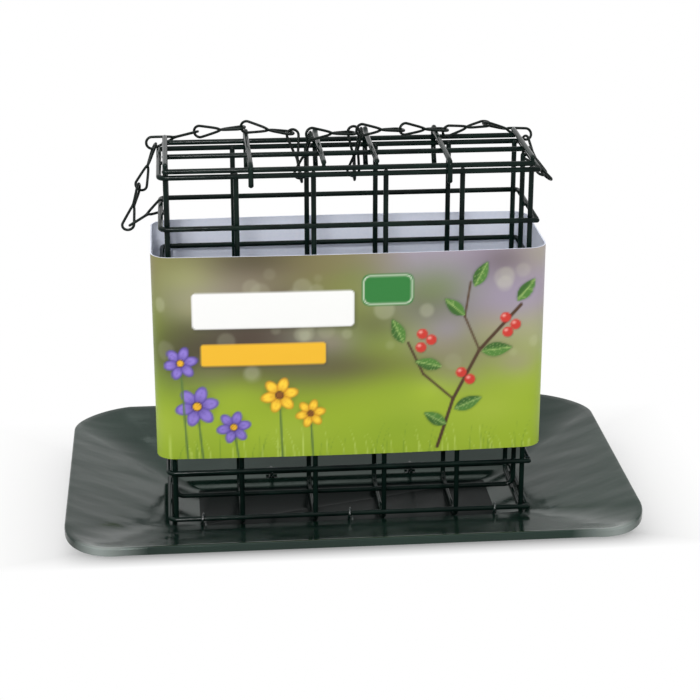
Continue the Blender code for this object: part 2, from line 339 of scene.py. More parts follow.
def lidWires():
    y = basket["halfY"]
    for label, place in (("front", -y), ("middle", 0), ("back", y)):
        path = [Vector((x, place, longZ)) for x in (-lid["longHalf"], lid["longHalf"])]
        piece = layWire(f"lidLongWire{label.title()}", path, basket["wireDia"], basket["sides"], greenWire)
        dress(piece, "lid", f"lid_long_wire_{label}")
    crossZ = longZ + step
    for index, x in enumerate(crossX):
        start = [(x, -y - lid["frontOver"], crossZ)]
        if abs(x) == lid["catchX"]:
            catchY = -y - step
            start = [(x, catchY, rimZ - lid["catchDrop"]), (x, catchY, rimZ + lid["catchTop"]),
                     (x, catchY + lid["catchRound"], crossZ)]
        end = [(x, y + lid["backOver"], crossZ)]
        if abs(x) != lid["endX"]:
            end = [(x, lid["reach"], crossZ)] + [(x, y + out, rimZ + up) for out, up in lid["hook"]]
        path = smoothed(start + end, lid["cuts"])
        piece = layWire(f"lidCrossWire{index + 1}", path, basket["wireDia"], basket["sides"], greenWire)
        dress(piece, "lid", f"lid_cross_wire_{index + 1}")


lidWires()
print("stage: lid wires")

# welds, where one wire of a body touches the next
weld = {"radius": 0.00068, "least": 0.85, "most": 1.15, "segments": 10, "rings": 6, "seed": 7}


def weldTreeBuild(tree):
    treeInput(tree, "Bead radius", "NodeSocketFloat")
    treeInput(tree, "Half length", "NodeSocketFloat")
    treeInput(tree, "Seed", "NodeSocketInt")
    treeInput(tree, "Finish", "NodeSocketMaterial")
    start = tree.nodes.new("NodeGroupInput")
    end = tree.nodes.new("NodeGroupOutput")
    ball = tree.nodes.new("GeometryNodeMeshUVSphere")
    ball.inputs["Segments"].default_value = weld["segments"]
    ball.inputs["Rings"].default_value = weld["rings"]
    ball.inputs["Radius"].default_value = 1.0
    axis = tree.nodes.new("GeometryNodeInputNamedAttribute")
    axis.data_type = "FLOAT_VECTOR"
    axis.inputs["Name"].default_value = "weldAxis"
    turn = tree.nodes.new("FunctionNodeAlignRotationToVector")
    turn.axis = "Z"
    chance = tree.nodes.new("FunctionNodeRandomValue")
    chance.data_type = "FLOAT"
    chance.inputs[2].default_value = weld["least"]
    chance.inputs[3].default_value = weld["most"]
    wide = tree.nodes.new("ShaderNodeMath")
    wide.operation = "MULTIPLY"
    size = tree.nodes.new("ShaderNodeCombineXYZ")
    spread = tree.nodes.new("GeometryNodeInstanceOnPoints")
    smooth = tree.nodes.new("GeometryNodeSetShadeSmooth")
    solid = tree.nodes.new("GeometryNodeRealizeInstances")
    finish = tree.nodes.new("GeometryNodeSetMaterial")
    link = tree.links.new
    link(axis.outputs["Attribute"], turn.inputs["Vector"])
    link(start.outputs["Seed"], chance.inputs["Seed"])
    link(start.outputs["Bead radius"], wide.inputs[0])
    link(chance.outputs[1], wide.inputs[1])
    link(wide.outputs[0], size.inputs[0])
    link(wide.outputs[0], size.inputs[1])
    link(start.outputs["Half length"], size.inputs[2])
    link(start.outputs["Geometry"], spread.inputs["Points"])
    link(ball.outputs["Mesh"], spread.inputs["Instance"])
    link(turn.outputs["Rotation"], spread.inputs["Rotation"])
    link(size.outputs[0], spread.inputs["Scale"])
    link(spread.outputs[0], solid.inputs[0])
    link(solid.outputs[0], smooth.inputs[0])
    link(smooth.outputs[0], finish.inputs["Geometry"])
    link(start.outputs["Finish"], finish.inputs["Material"])
    link(finish.outputs[0], end.inputs[0])


weldTree = spreadTree("weldBeads", weldTreeBuild)


def makeWelds(name, body, spots):
    mesh = bpy.data.meshes.new(name + "Spots")
    mesh.from_pydata([spot for spot, _ in spots], [], [])
    axes = [value for _, axis in spots for value in axis]
    mesh.attributes.new("weldAxis", "FLOAT_VECTOR", "POINT").data.foreach_set("vector", axes)
    carrier = bpy.data.objects.new(name + "Spots", mesh)
    scene.collection.objects.link(carrier)
    values = {"Bead radius": weld["radius"], "Half length": step / 2, "Seed": weld["seed"], "Finish": greenWire}
    dress(settled(carrier, weldTree, values, name), body)


def basketWeldSpots():
    spots = []
    for index in range(basket["rings"]):
        z = basket["baseZ"] + basket["pitch"] * index
        for x in basket["hoopX"]:
            spots += [((x, side * (basket["halfY"] - step / 2), z), (0, 1, 0)) for side in (-1, 1)]
        if index:
            spots += [((side * (basket["halfX"] - step / 2), 0, z), (1, 0, 0)) for side in (-1, 1)]
    return spots


def lidWeldSpots():
    spots = []
    for x in crossX:
        places = (-basket["halfY"], 0, basket["halfY"]) if abs(x) == lid["endX"] else (0,)
        if abs(x) == lid["loopX"]:
            places = (-basket["halfY"], 0)
        spots += [((x, y, longZ + step / 2), (0, 0, 1)) for y in places]
    return spots


makeWelds("basketWelds", "feeder", basketWeldSpots())
makeWelds("lidWelds", "lid", lidWeldSpots())
print("stage: welds")

# chain: for each link the body, the centre in link lengths from the rim, the direction of its second
# loop and the width direction of its first loop
links = {"length": 0.0209, "bend": 0.0023, "dia": 0.00106, "waist": 0.00072, "twist": 0.00085,
         "steps": 12, "sides": 12, "cut": 0.2}
linkPlaces = (
    ("feeder", (-3.659, 0.253, -1.032), (-0.656, -0.73, -0.192), (-0.502, 0.232, 0.833)),
    ("feeder", (-3.939, 0.241, -0.891), (0.252, 0.703, 0.666), (-0.963, 0.247, 0.104)),
    ("feeder", (-3.657, 0.859, -0.29), (0.316, 0.624, 0.714), (0.897, 0.05, -0.44)),
    ("lid", (-3.178, 1.161, 0.179), (0.976, 0.035, 0.217), (-0.219, 0.252, 0.943)),
    ("lid", (-2.289, 1.041, 0.345), (0.945, -0.295, 0.142), (-0.138, 0.033, 0.99)),
    ("lid", (-1.397, 0.839, 0.375), (0.981, -0.15, -0.124), (0.123, -0.018, 0.992)),
    ("lid", (-0.859, 0.636, -0.086), (0.162, -0.309, -0.937), (0.987, 0.061, 0.151)),
    ("lid", (-0.725, 0.371, -0.018), (0.212, -0.268, 0.94), (0.977, 0.069, -0.201)),
    ("lid", (-0.235, 0.395, 0.39), (0.94, 0.329, -0.085), (0.079, 0.03, 0.996)),
    ("lid", (0.204, 0.455, -0.013), (0, -0.216, -0.976), (1, 0.005, -0.001)),
    ("lid", (0.239, 0.263, 0.048), (0.149, -0.23, 0.962), (0.989, 0.032, -0.145)),
    ("lid", (0.68, 0.348, 0.448), (0.917, 0.383, -0.111), (0.096, 0.059, 0.994)),
    ("lid", (1.541, 0.674, 0.36), (0.94, 0.321, -0.116), (0.108, 0.045, 0.993)),
    ("lid", (2.395, 0.986, 0.301), (0.939, 0.336, 0.074), (0.008, -0.238, 0.971)),
    ("lid", (3.215, 1.145, 0.207), (0.946, 0.131, -0.295), (0.242, -0.893, 0.38)),
    ("feeder", (3.671, 0.822, -0.25), (0.261, -0.802, -0.537), (0.363, -0.433, 0.825)),
    ("feeder", (3.66, 0.326, -0.282), (-0.581, -0.417, 0.699), (-0.486, 0.867, 0.113)),
)


def halfLoop():
    middle = links["length"] / 2 - links["bend"]
    reach = middle - links["twist"]
    slant = hypot(reach, links["waist"])
    lean = asin(links["bend"] / slant) - atan2(links["waist"], reach)
    points = [(links["twist"], links["waist"])]
    for index in range(links["steps"] + 1):
        angle = (pi / 2 + lean) * (1 - 2 * index / links["steps"])
        points.append((middle + links["bend"] * cos(angle), links["bend"] * sin(angle)))
    points.append((links["twist"], -links["waist"]))
    return points


def roundAgain(path):
    out = []
    for a, b in zip(path, path[1:] + path[:1]):
        out += [a.lerp(b, links["cut"]), a.lerp(b, 1 - links["cut"])]
    return out


def makeChain():
    loop = halfLoop()
    for index, (body, centre, along, across) in enumerate(linkPlaces):
        middle = Vector(centre) * links["length"] + Vector((0, 0, rimZ))
        along = Vector(along).normalized()
        across = Vector(across)
        across = (across - along * across.dot(along)).normalized()
        upright = along.cross(across)
        path = [middle - along * p + across * q for p, q in reversed(loop)]
        path += [middle + along * p + upright * q for p, q in loop]
        path = roundAgain(roundAgain(path))
        link = layWire(f"chainLink{index + 1}", path, links["dia"], links["sides"], darkLink, closed=True)
        dress(link, body, f"chain_link_{index + 1}")


makeChain()
print("stage: chain")

# tray: half sizes and corner radius of the floor, then the same and the height for the well and the rim
tray = {"sheet": 0.001, "floor": (0.060, 0.0173, 0.0015), "well": (0.0719, 0.0237, 0.0045, 0.004),
        "rim": (0.112, 0.0706, 0.0225, 0.0183), "droop": 0.001, "roll": 0.0008, "rollSteps": 4, "skirt": 0.0031,
        "cornerSteps": 14, "sideSteps": 26, "wellRows": 4, "wingRows": 22, "ripple": 0.00007,
        "wingWave": (90, 420, 0.07), "longWave": (300, 1.3, 0.6, 0.03), "flatNormal": 0.99, "topNormal": 0.5,
        "sharp": 40}


def boxLoop(halfX, halfY, corner, runs, bends):
    # a straight run and then its corner, four times from the front left; the third value is how much of
    # the corner has been passed
    turns = ((1, -1), (1, 1), (-1, 1), (-1, -1))
    centres = [np.array((x * (halfX - corner), y * (halfY - corner))) for x, y in turns]
    spots = []
    for side, run in enumerate(runs):
        first = pi / 2 * (side - 1)
        out = corner * np.array((cos(first), sin(first)))
        start, end = centres[side - 1] + out, centres[side] + out
        spots += [(*(start + (end - start) * s / run), 0) for s in range(run)]
        for s in range(bends):
            angle = first + pi / 2 * s / bends
            spots.append((*(centres[side] + corner * np.array((cos(angle), sin(angle)))), s / bends))
    return np.array(spots)


def levelLoop(halfX, halfY, corner, z, droop=0.0):
    sides = tray["sideSteps"]
    loop = np.roll(boxLoop(halfX, halfY, corner, [sides] * 4, tray["cornerSteps"]), -sides, axis=0)
    loop[:, 2] = z - droop * np.sin(pi * loop[:, 2])
    return loop


def trayLoops():
    floorX, floorY, floorCorner = tray["floor"]
    wellX, wellY, wellCorner, wellZ = tray["well"]
    rimX, rimY, rimCorner, rimTop = tray["rim"]
    roll, thick, rows, wellRows = tray["roll"], tray["sheet"], tray["wingRows"], tray["wellRows"]

    def edgeLoop(inset, z):
        return levelLoop(rimX - inset, rimY - inset, rimCorner + roll - inset, z, tray["droop"])

    floor = levelLoop(floorX, floorY, floorCorner, thick)
    well = levelLoop(wellX, wellY, wellCorner, wellZ)
    edge = edgeLoop(roll, rimTop)
    loops = [floor + (well - floor) * row / wellRows for row in range(wellRows)]
    slantX, slantY, wingFrom = tray["wingWave"]
    pace, shift, height, longFrom = tray["longWave"]
    for row in range(rows + 1):
        share = row / rows
        loop = well + (edge - well) * share
        x, y = loop[:, 0], loop[:, 1]
        wave = np.sin(y * slantY + x * slantX) * (np.abs(x) > wingFrom)
        wave += height * np.sin(x * pace + shift) * (np.abs(y) > longFrom)
        loop[:, 2] += wave * tray["ripple"] * sin(pi * share)
        loops.append(loop)
    for turn in range(1, tray["rollSteps"] + 1):
        angle = pi / 2 * turn / tray["rollSteps"]
        loops.append(edgeLoop(roll * (1 - sin(angle)), rimTop - roll * (1 - cos(angle))))
    loops += [edgeLoop(inset, rimTop - drop)
              for inset, drop in ((0, tray["skirt"]), (thick, tray["skirt"]), (thick, roll + thick))]
    down = np.array((0, 0, thick))
    loops += [loop - down for loop in loops[wellRows:wellRows + rows]][::-1]
    loops.append(floor - down)
    return loops


# the "edge" tone is a painted reflection, laid on the rolled rim at the front corners
sheetLook = {"dark": "0a1915", "light": "12251e", "patchScale": 14, "edge": "868d8a", "reflectionEdgeX": (0.08, 0.1),
             "reflectionEdgeY": (-0.069, -0.06), "smearScale": 55, "roughLow": 0.13, "roughHigh": 0.27, "waveScale": 30,
             "waveStretch": (1.0, 2.6, 1.0), "streakScale": 190, "streakStretch": (0.35, 1.0, 1.0),
             "streakShare": 0.2, "dentDepth": 0.0012, "dentStrength": 0.5, "calmShare": 0.05,
             "calmX": (0.068, 0.08), "tint": "eefff6", "specular": 0.37}
# the well's floor is painted darker than the rest of the sheet: painted shade in the recess under the basket
# and the card, with a lower specular
shadedWellLook = {**sheetLook, "dark": "040a09", "light": "0a1412", "specular": 0.03}
frontLook = {**sheetLook, "specular": 0.25, "roughLow": 0.08, "roughHigh": 0.2, "dentDepth": 0.0016}


def sheetMaterial(name, look):
    mat, tree, shader = newMaterial(name)
    coord, aside, y = placeOn(tree)
    cloud = noiseOn(tree, coord, look["patchScale"], 2.0)
    green = blendColours(tree, remap(tree, cloud, 0, 1), paint(look["dark"]), paint(look["light"]))
    # painted reflection: a paler edge at the front corners, where the rolled rim would mirror the white floor;
    # and dents that die away towards the middle
    ends, front = remap(tree, aside, 0, 1, *look["reflectionEdgeX"]), remap(tree, y, 1, 0, *look["reflectionEdgeY"])
    edge = calc(tree, "MULTIPLY", ends, front)
    tree.links.new(blendColours(tree, edge, green, paint(look["edge"])), shader.inputs["Base Color"])
    smear = noiseOn(tree, coord, look["smearScale"], 4.0, 0.6)
    tree.links.new(remap(tree, smear, look["roughLow"], look["roughHigh"]), shader.inputs["Roughness"])
    waves = noiseOn(tree, coord, look["waveScale"], 1.0, 0.5, look["waveStretch"])
    streaks = noiseOn(tree, coord, look["streakScale"], 3.0, 0.55, look["streakStretch"])
    dents = calc(tree, "ADD", waves, calc(tree, "MULTIPLY", streaks, look["streakShare"]))
    wide = remap(tree, aside, look["calmShare"], 1, *look["calmX"])
    addBump(tree, shader, calc(tree, "MULTIPLY", dents, wide), look["dentDepth"], look["dentStrength"])
    shader.inputs["Specular IOR Level"].default_value = look["specular"]
    shader.inputs["Specular Tint"].default_value = paint(look["tint"])
    return mat


sheetKinds = (sheetMaterial("glossGreenSheet", sheetLook), sheetMaterial("shadedDullWellSheet", shadedWellLook),
              sheetMaterial("darkFrontSheet", frontLook))
ties = {"dia": 0.0011, "legY": 0.0229, "pitch": 0.0014, "foot": 0.0027, "footZ": 0.00095, "bend": 0.0009,
        "steps": 24, "sides": 10, "places": ((-0.0586, -1), (0, -1), (0.0586, -1), (-0.0293, 1), (0.0293, 1)),
        "slot": (0.0046, 0.0017, 0.008), "slotZ": 0.002}


def sheetKind(face):
    # 1 on the well's floor, which is painted darker as shade, 2 on the front slopes between their creases, 0 on
    # the rest
    floorX, floorY, floorCorner = tray["floor"]
    wellX, wellY, wellCorner, _ = tray["well"]
    rimX, rimY, rimCorner, _ = tray["rim"]
    aside, y = abs(face.center.x), face.center.y
    if face.normal.z > tray["flatNormal"] and aside < floorX and abs(y) < floorY:
        return 1
    crease = np.interp(-y, (floorY, wellY, rimY), (floorX - floorCorner, wellX - wellCorner, rimX - rimCorner))
    return 2 if face.normal.z > tray["topNormal"] and y < -floorY and aside < crease else 0


def makeTray():
    loops = trayLoops()
    count = len(loops[0])
    faces = [tuple(range(count))]
    for level in range(len(loops) - 1):
        low, high = level * count, (level + 1) * count
        faces += [(low + (i + 1) % count, low + i, high + i, high + (i + 1) % count) for i in range(count)]
    last = (len(loops) - 1) * count
    faces.append(tuple(reversed(range(last, last + count))))
    mesh = bpy.data.meshes.new("seedTray")
    mesh.from_pydata(np.concatenate(loops).tolist(), [], faces)
    mesh.polygons.foreach_set("use_smooth", [True] * len(faces))
    body = bpy.data.objects.new("seedTrayBlank", mesh)
    scene.collection.objects.link(body)
    cutters = []
    for x, side in ties["places"]:
        bpy.ops.mesh.primitive_cube_add(size=1, location=(x, side * ties["legY"], ties["slotZ"]))
        cutter = bpy.context.object
        cutter.scale = ties["slot"]
        cutters.append(cutter)
        cut = body.modifiers.new("slot", "BOOLEAN")
        cut.operation = "DIFFERENCE"
        cut.solver = "EXACT"
        cut.object = cutter
    bpy.context.view_layer.update()
    ready = body.evaluated_get(bpy.context.evaluated_depsgraph_get())
    done = bpy.data.meshes.new_from_object(ready)
    for cutter in cutters:
        bpy.data.objects.remove(cutter)
    bpy.data.objects.remove(body)
    done.materials.clear()
    for sheet in sheetKinds:
        done.materials.append(sheet)
    done.polygons.foreach_set("material_index", [sheetKind(face) for face in done.polygons])
    piece = bpy.data.objects.new("seedTray", done)
    scene.collection.objects.link(piece)
    done.set_sharp_from_angle(angle=radians(tray["sharp"]))
    dress(piece, "feeder", "tray")


def makeTies():
    eye = basket["wireDia"] / 2 + basket["gap"] + ties["dia"] / 2
    lean = asin((ties["legY"] - basket["halfY"]) / eye)
    for index, (x, side) in enumerate(ties["places"]):
        y, half, footZ, bend = side * ties["legY"], ties["pitch"] / 2, ties["footZ"], ties["bend"]
        path = [(x - half - ties["foot"], y, footZ), (x - half - bend, y, footZ), (x - half, y, footZ + bend)]
        for s in range(ties["steps"] + 1):
            share = s / ties["steps"]
            angle = lean + 2 * pi * share
            path.append((x + ties["pitch"] * (share - 0.5), side * (basket["halfY"] + eye * sin(angle)),
                         basket["baseZ"] - eye * cos(angle)))
        path += [(x + half, y, footZ + bend), (x + half + bend, y, footZ), (x + half + ties["foot"], y, footZ)]
        piece = layWire(f"tieWire{index + 1}", [Vector(p) for p in path], ties["dia"], ties["sides"], glossWire)
        dress(piece, "feeder", f"tray_tie_{index + 1}")


makeTray()
makeTies()
print("stage: tray and ties")

# card sleeve
sleeve = {"halfX": 0.0761, "halfY": 0.025, "bulge": 0.0018, "corner": 0.007, "baseZ": 0.0339, "height": 0.0826,
          "card": 0.0005, "cell": 0.00055, "endCells": 24, "cornerCells": 12, "sharp": 50}


def sleeveOutline(inset):
    front = int(2 * (sleeve["halfX"] - sleeve["corner"]) / sleeve["cell"])
    runs = (front, sleeve["endCells"], front // 2, sleeve["endCells"])
    out = boxLoop(sleeve["halfX"] - inset, sleeve["halfY"] - inset, sleeve["corner"] - inset, runs,
                  sleeve["cornerCells"])[:, :2]
    bow = sleeve["bulge"] * (1 - np.minimum(1, np.abs(out[:, 0]) / sleeve["halfX"]) ** 2)
    out[:, 1] += bow * np.where(out[:, 1] > 0, 1, -1)
    return out


# the print, in millimetres along the card and up it. A rise is a colour, where it starts, over how far and
# how strongly. A band is a colour, its middle and reach along, the same up, and its strength
garden = {"seed": 11, "meadow": "97b028", "rises": (("87a024", 16, 40, 1.0), ("80794c", 50, 24, 0.9)),
          "haze": {"tone": "a094a4", "up": 34, "over": 20, "along": 22, "spread": 16, "cover": 0.75},
          "underBands": (("4d3b34", -42, 34, 50, 19, 0.95),),
          "overBands": (("40302a", -58, 26, 44, 11, 0.8), ("55473a", -4, 40, 37, 8, 0.7),
                        ("3c3526", -38, 20, 82, 9, 0.7)),
          "lawn": ("98b230", 20, 16, 0.7)}
patches = {"count": 60, "along": (-78, 78), "up": (-4, 86), "size": (5, 15), "cover": (0.25, 0.55),
           "lowTones": 3, "lowUp": 34,
           "tones": ("abc42e", "7b9a20", "b0bf4e", "43322a", "9c8c84", "6f8a2c", "988ca6", "b5b47a")}
discs = {"count": 34, "tone": "e4e6c4", "along": (-76, 76), "up": (34, 84), "size": (1.5, 4.2), "soft": 1.3,
         "cover": (0.05, 0.16)}
blades = {"count": 70, "along": (-74, 74), "tall": (5, 13), "lean": (-3.5, 3.5), "wide": (0.16, 0.34),
          "tones": ("6f8f2b", "c3d76a"), "soft": 0.3, "cover": 0.55}
# twigs are points, width and tone; leaves are place, length, width and turn; flowers are place, size, how far
# the stem's foot lies aside, and which tones of petal, shade and eye
sprigs = {"twigs": ((((34, 2), (40, 22), (50, 42), (66, 60)), 0.7, "4b3423"),
                    (((40, 22), (28, 33), (22, 46)), 0.5, "4b3423"),
                    (((50, 42), (44, 56), (46, 70)), 0.45, "54402c")),
          "leaves": ((33, 14, 5.2, 2.4, 2.6), (46, 20, 6, 2.6, 0.4), (30, 37, 5.5, 2.4, 2.9),
                     (18, 51, 5.5, 2.5, 2.0), (57, 42, 6.2, 2.8, 0.1), (40, 60, 5.4, 2.4, 2.4),
                     (50, 73, 5.6, 2.5, 1.1), (68, 66, 5.8, 2.5, 0.9)),
          "leafTones": ("24381a", "4f7f35", "2f5522", "a9c274"), "ribPitch": 0.85,
          "berries": ((27, 44), (31, 47), (27.5, 49.5), (60, 55), (64, 52), (61, 49), (43, 33), (46.5, 30)),
          "berryTones": ("3a1a14", "c8382e", "f3b1a4"), "berrySize": 2.1,
          "flowers": ((-60, 22, 7.5, 2, "violet"), (-46, 13, 6, 2, "violet"), (-66, 40, 6, 2, "violet"),
                      (-28, 26, 6.5, 1, "yellow"), (-16, 18, 5.2, 1, "yellow")),
          "violet": ("8f7ad0", "4a3a8c", "f0b52c"), "yellow": ("ffd23a", "c98212", "8a5420"),
          "flowerTones": ("2c3318", "3f2a14", "5a3512"), "petals": (0, 2, 4, 1, 3, 5), "firstPetal": 0.2,
          "stem": (0.4, "57763a"), "stemFoot": -2}
# each label is a tone, middle, half sizes and corner, softness of its edge and strength
labels = (("3b3a2f", (-29.3, 60.2, 31, 7.4, 1.5), 2.4, 0.5), ("f2f2f0", (-30, 61, 31, 7.2, 1.5), 0.45, 1.0),
          ("3b3a2f", (-33.6, 42.5, 24, 4.6, 1.0), 2.0, 0.5), ("f0b92c", (-34, 43, 24, 4.4, 1.0), 0.45, 1.0),
          ("2f7a38", (14, 68, 10, 6.4, 3), 0.45, 1.0))
labelLine = {"tone": "dfe9d2", "place": (14, 68, 9.2, 5.6, 2.4), "half": 0.2}


def softMix(card, tone, cover):
    base = card[0]
    base += (np.array(paint(tone)[:3]) - base) * np.clip(cover, 0, 1)[:, None]


def inside(distance, soft=0.45):
    return np.clip(0.5 - distance / soft, 0, 1)


def disc(a, b, ca, cb, ra, rb, turn=0.0):
    c, s = cos(turn), sin(turn)
    u, v = ((a - ca) * c + (b - cb) * s) / ra, (-(a - ca) * s + (b - cb) * c) / rb
    return (np.hypot(u, v) - 1) * min(ra, rb)


def plate(a, b, ca, cb, ha, hb, r):
    qa, qb = np.abs(a - ca) - ha + r, np.abs(b - cb) - hb + r
    return np.hypot(np.maximum(qa, 0), np.maximum(qb, 0)) + np.minimum(np.maximum(qa, qb), 0) - r


def addBands(card, bands):
    _, a, b = card
    for tone, ca, ra, cb, rb, cover in bands:
        softMix(card, tone, np.exp(-((a - ca) / ra) ** 2 - ((b - cb) / rb) ** 2) * cover)


def addGarden(card):
    _, a, b = card
    rng = np.random.default_rng(garden["seed"])
    for tone, start, over, cover in garden["rises"]:
        softMix(card, tone, (b - start) / over * cover)
    haze = garden["haze"]
    side = 0.5 + 0.5 * np.tanh((a - haze["along"]) / haze["spread"])
    softMix(card, haze["tone"], (b - haze["up"]) / haze["over"] * side * haze["cover"])
    addBands(card, garden["underBands"])
    tones, lowTones = patches["tones"], patches["lowTones"]
    for _ in range(patches["count"]):
        ca, cb = rng.uniform(*patches["along"]), rng.uniform(*patches["up"])
        size = rng.uniform(*patches["size"])
        low = cb < patches["lowUp"]
        tone = tones[int(rng.integers(0, lowTones) if low else rng.integers(lowTones, len(tones)))]
        reach = np.exp(-((a - ca) ** 2 / (2.0 * size ** 2) + (b - cb) ** 2 / (0.8 * size ** 2)))
        softMix(card, tone, reach * rng.uniform(*patches["cover"]))
    addBands(card, garden["overBands"])
    for _ in range(discs["count"]):
        ca, cb, r = rng.uniform(*discs["along"]), rng.uniform(*discs["up"]), rng.uniform(*discs["size"])
        spot = inside(disc(a, b, ca, cb, r, r), discs["soft"])
        softMix(card, discs["tone"], spot * rng.uniform(*discs["cover"]))
    tone, start, over, cover = garden["lawn"]
    softMix(card, tone, np.clip((start - b) / over, 0, 1) * cover)
    for _ in range(blades["count"]):
        foot, tall = rng.uniform(*blades["along"]), rng.uniform(*blades["tall"])
        lean, wide = rng.uniform(*blades["lean"]), rng.uniform(*blades["wide"])
        rise = np.clip(b / tall, 0, 1)
        blade = np.abs(a - foot - lean * rise ** 2) - wide * (1 - rise)
        tone = blades["tones"][0 if lean > 0 else 1]
        softMix(card, tone, inside(np.maximum(blade, b - tall), blades["soft"]) * blades["cover"])


def addTwig(card, points, width, tone):
    _, a, b = card
    for (x0, y0), (x1, y1) in zip(points, points[1:]):
        span = (x1 - x0) ** 2 + (y1 - y0) ** 2
        t = np.clip(((a - x0) * (x1 - x0) + (b - y0) * (y1 - y0)) / span, 0, 1)
        softMix(card, tone, inside(np.hypot(a - x0 - t * (x1 - x0), b - y0 - t * (y1 - y0)) - width))


def addLeaf(card, ca, cb, length, width, turn):
    _, a, b = card
    shade, tone, deep, vein = sprigs["leafTones"]
    c, s = cos(turn), sin(turn)
    u, v = (a - ca) * c + (b - cb) * s, -(a - ca) * s + (b - cb) * c
    share, side = np.clip(u / length, -1, 1), np.abs(v)
    distance = side - width * (1 - share ** 2) * (1 - 0.25 * share) + np.maximum(np.abs(u) - length, 0) * 3
    softMix(card, shade, inside(distance - 0.5, 1.2) * 0.28)
    softMix(card, tone, inside(distance))
    softMix(card, deep, inside(distance) * np.clip(v / width * 1.6, 0, 0.75))
    ribs = np.abs(((u - side * 0.9) / sprigs["ribPitch"]) % 1 - 0.5)
    softMix(card, vein, inside(np.maximum(0.42 - ribs, distance + 0.3), 0.1) * 0.35)
    softMix(card, vein, inside(np.maximum(side - 0.12, distance + 0.4)) * 0.9)


def addBerry(card, ca, cb):
    _, a, b = card
    shade, tone, shine = sprigs["berryTones"]
    r = sprigs["berrySize"]
    softMix(card, shade, inside(disc(a, b, ca + 0.25, cb - 0.3, r, r)) * 0.5)
    softMix(card, tone, inside(disc(a, b, ca, cb, r, r)))
    softMix(card, shine, inside(disc(a, b, ca - r * 0.3, cb + r * 0.35, r * 0.3, r * 0.24), 0.7) * 0.8)


def addFlower(card, ca, cb, r, aside, kind):
    _, a, b = card
    tone, shade, eye = sprigs[kind]
    addTwig(card, ((ca, cb), (ca + aside, sprigs["stemFoot"])), *sprigs["stem"])
    ground, ring, grain = sprigs["flowerTones"]
    away = np.hypot(a - ca, b - cb)
    softMix(card, ground, inside(away - r * 0.9, r * 0.5) * 0.3)
    for place in sprigs["petals"]:
        turn = place * pi / 3 + sprigs["firstPetal"]
        c, s = cos(turn), sin(turn)
        u, v = (a - ca) * c + (b - cb) * s, np.abs(-(a - ca) * s + (b - cb) * c)
        petal = disc(a, b, ca + r * 0.62 * c, cb + r * 0.62 * s, r * 0.5, r * 0.31, turn)
        softMix(card, shade, inside(petal - 0.12))
        softMix(card, tone, inside(petal + 0.3, 0.9))
        softMix(card, shade, inside(np.maximum(petal, r * 0.1 - u)) * np.clip(1 - u / r * 1.5, 0, 0.8))
        softMix(card, shade, inside(np.maximum(v - 0.05, petal + 0.5), 0.25) * 0.5)
    softMix(card, ring, inside(away - r * 0.27))
    softMix(card, eye, inside(away - r * 0.21))
    softMix(card, grain, inside(away - r * 0.2) * np.clip(np.sin(a * 6.3) * np.sin(b * 6.3), 0, 1) * 0.6)


def gardenPrint(a, b):
    card = (np.tile(np.array(paint(garden["meadow"])[:3]), (len(a), 1)), a, b)
    addGarden(card)
    for twig in sprigs["twigs"]:
        addTwig(card, *twig)
    for leaf in sprigs["leaves"]:
        addLeaf(card, *leaf)
    for berry in sprigs["berries"]:
        addBerry(card, *berry)
    for flower in sprigs["flowers"]:
        addFlower(card, *flower)
    for tone, place, soft, cover in labels:
        softMix(card, tone, inside(plate(a, b, *place), soft) * cover)
    softMix(card, labelLine["tone"], inside(np.abs(plate(a, b, *labelLine["place"])) - labelLine["half"]))
    return card[0]


printLook = {"fibreScale": 1400, "roughLow": 0.36, "roughHigh": 0.5, "fibreDepth": 0.00003,
             "fibreStrength": 0.4, "specular": 0.25, "coat": 0.05, "coatRough": 0.3}
bareLook = {"dark": "e8eefd", "light": "eef2ff", "fibreScale": 900, "rough": 0.75, "fibreDepth": 0.00004,
            "fibreStrength": 0.5}


def printedMaterial(look):
    mat, tree, shader = newMaterial("printedCard")
    colours = tree.nodes.new("ShaderNodeAttribute")
    colours.attribute_name = "printColour"
    tree.links.new(colours.outputs["Color"], shader.inputs["Base Color"])
    coord = tree.nodes.new("ShaderNodeTexCoord").outputs["Object"]
    fibres = noiseOn(tree, coord, look["fibreScale"], 3.0)
    tree.links.new(remap(tree, fibres, look["roughLow"], look["roughHigh"]), shader.inputs["Roughness"])
    addBump(tree, shader, fibres, look["fibreDepth"], look["fibreStrength"])
    shader.inputs["Specular IOR Level"].default_value = look["specular"]
    shader.inputs["Coat Weight"].default_value = look["coat"]
    shader.inputs["Coat Roughness"].default_value = look["coatRough"]
    return mat


def bareMaterial(look):
    mat, tree, shader = newMaterial("bareCard")
    coord = tree.nodes.new("ShaderNodeTexCoord").outputs["Object"]
    fibres = noiseOn(tree, coord, look["fibreScale"], 4.0)
    tree.links.new(blendColours(tree, remap(tree, fibres, 0, 1), paint(look["dark"]), paint(look["light"])),
                   shader.inputs["Base Color"])
    shader.inputs["Roughness"].default_value = look["rough"]
    addBump(tree, shader, fibres, look["fibreDepth"], look["fibreStrength"])
    return mat


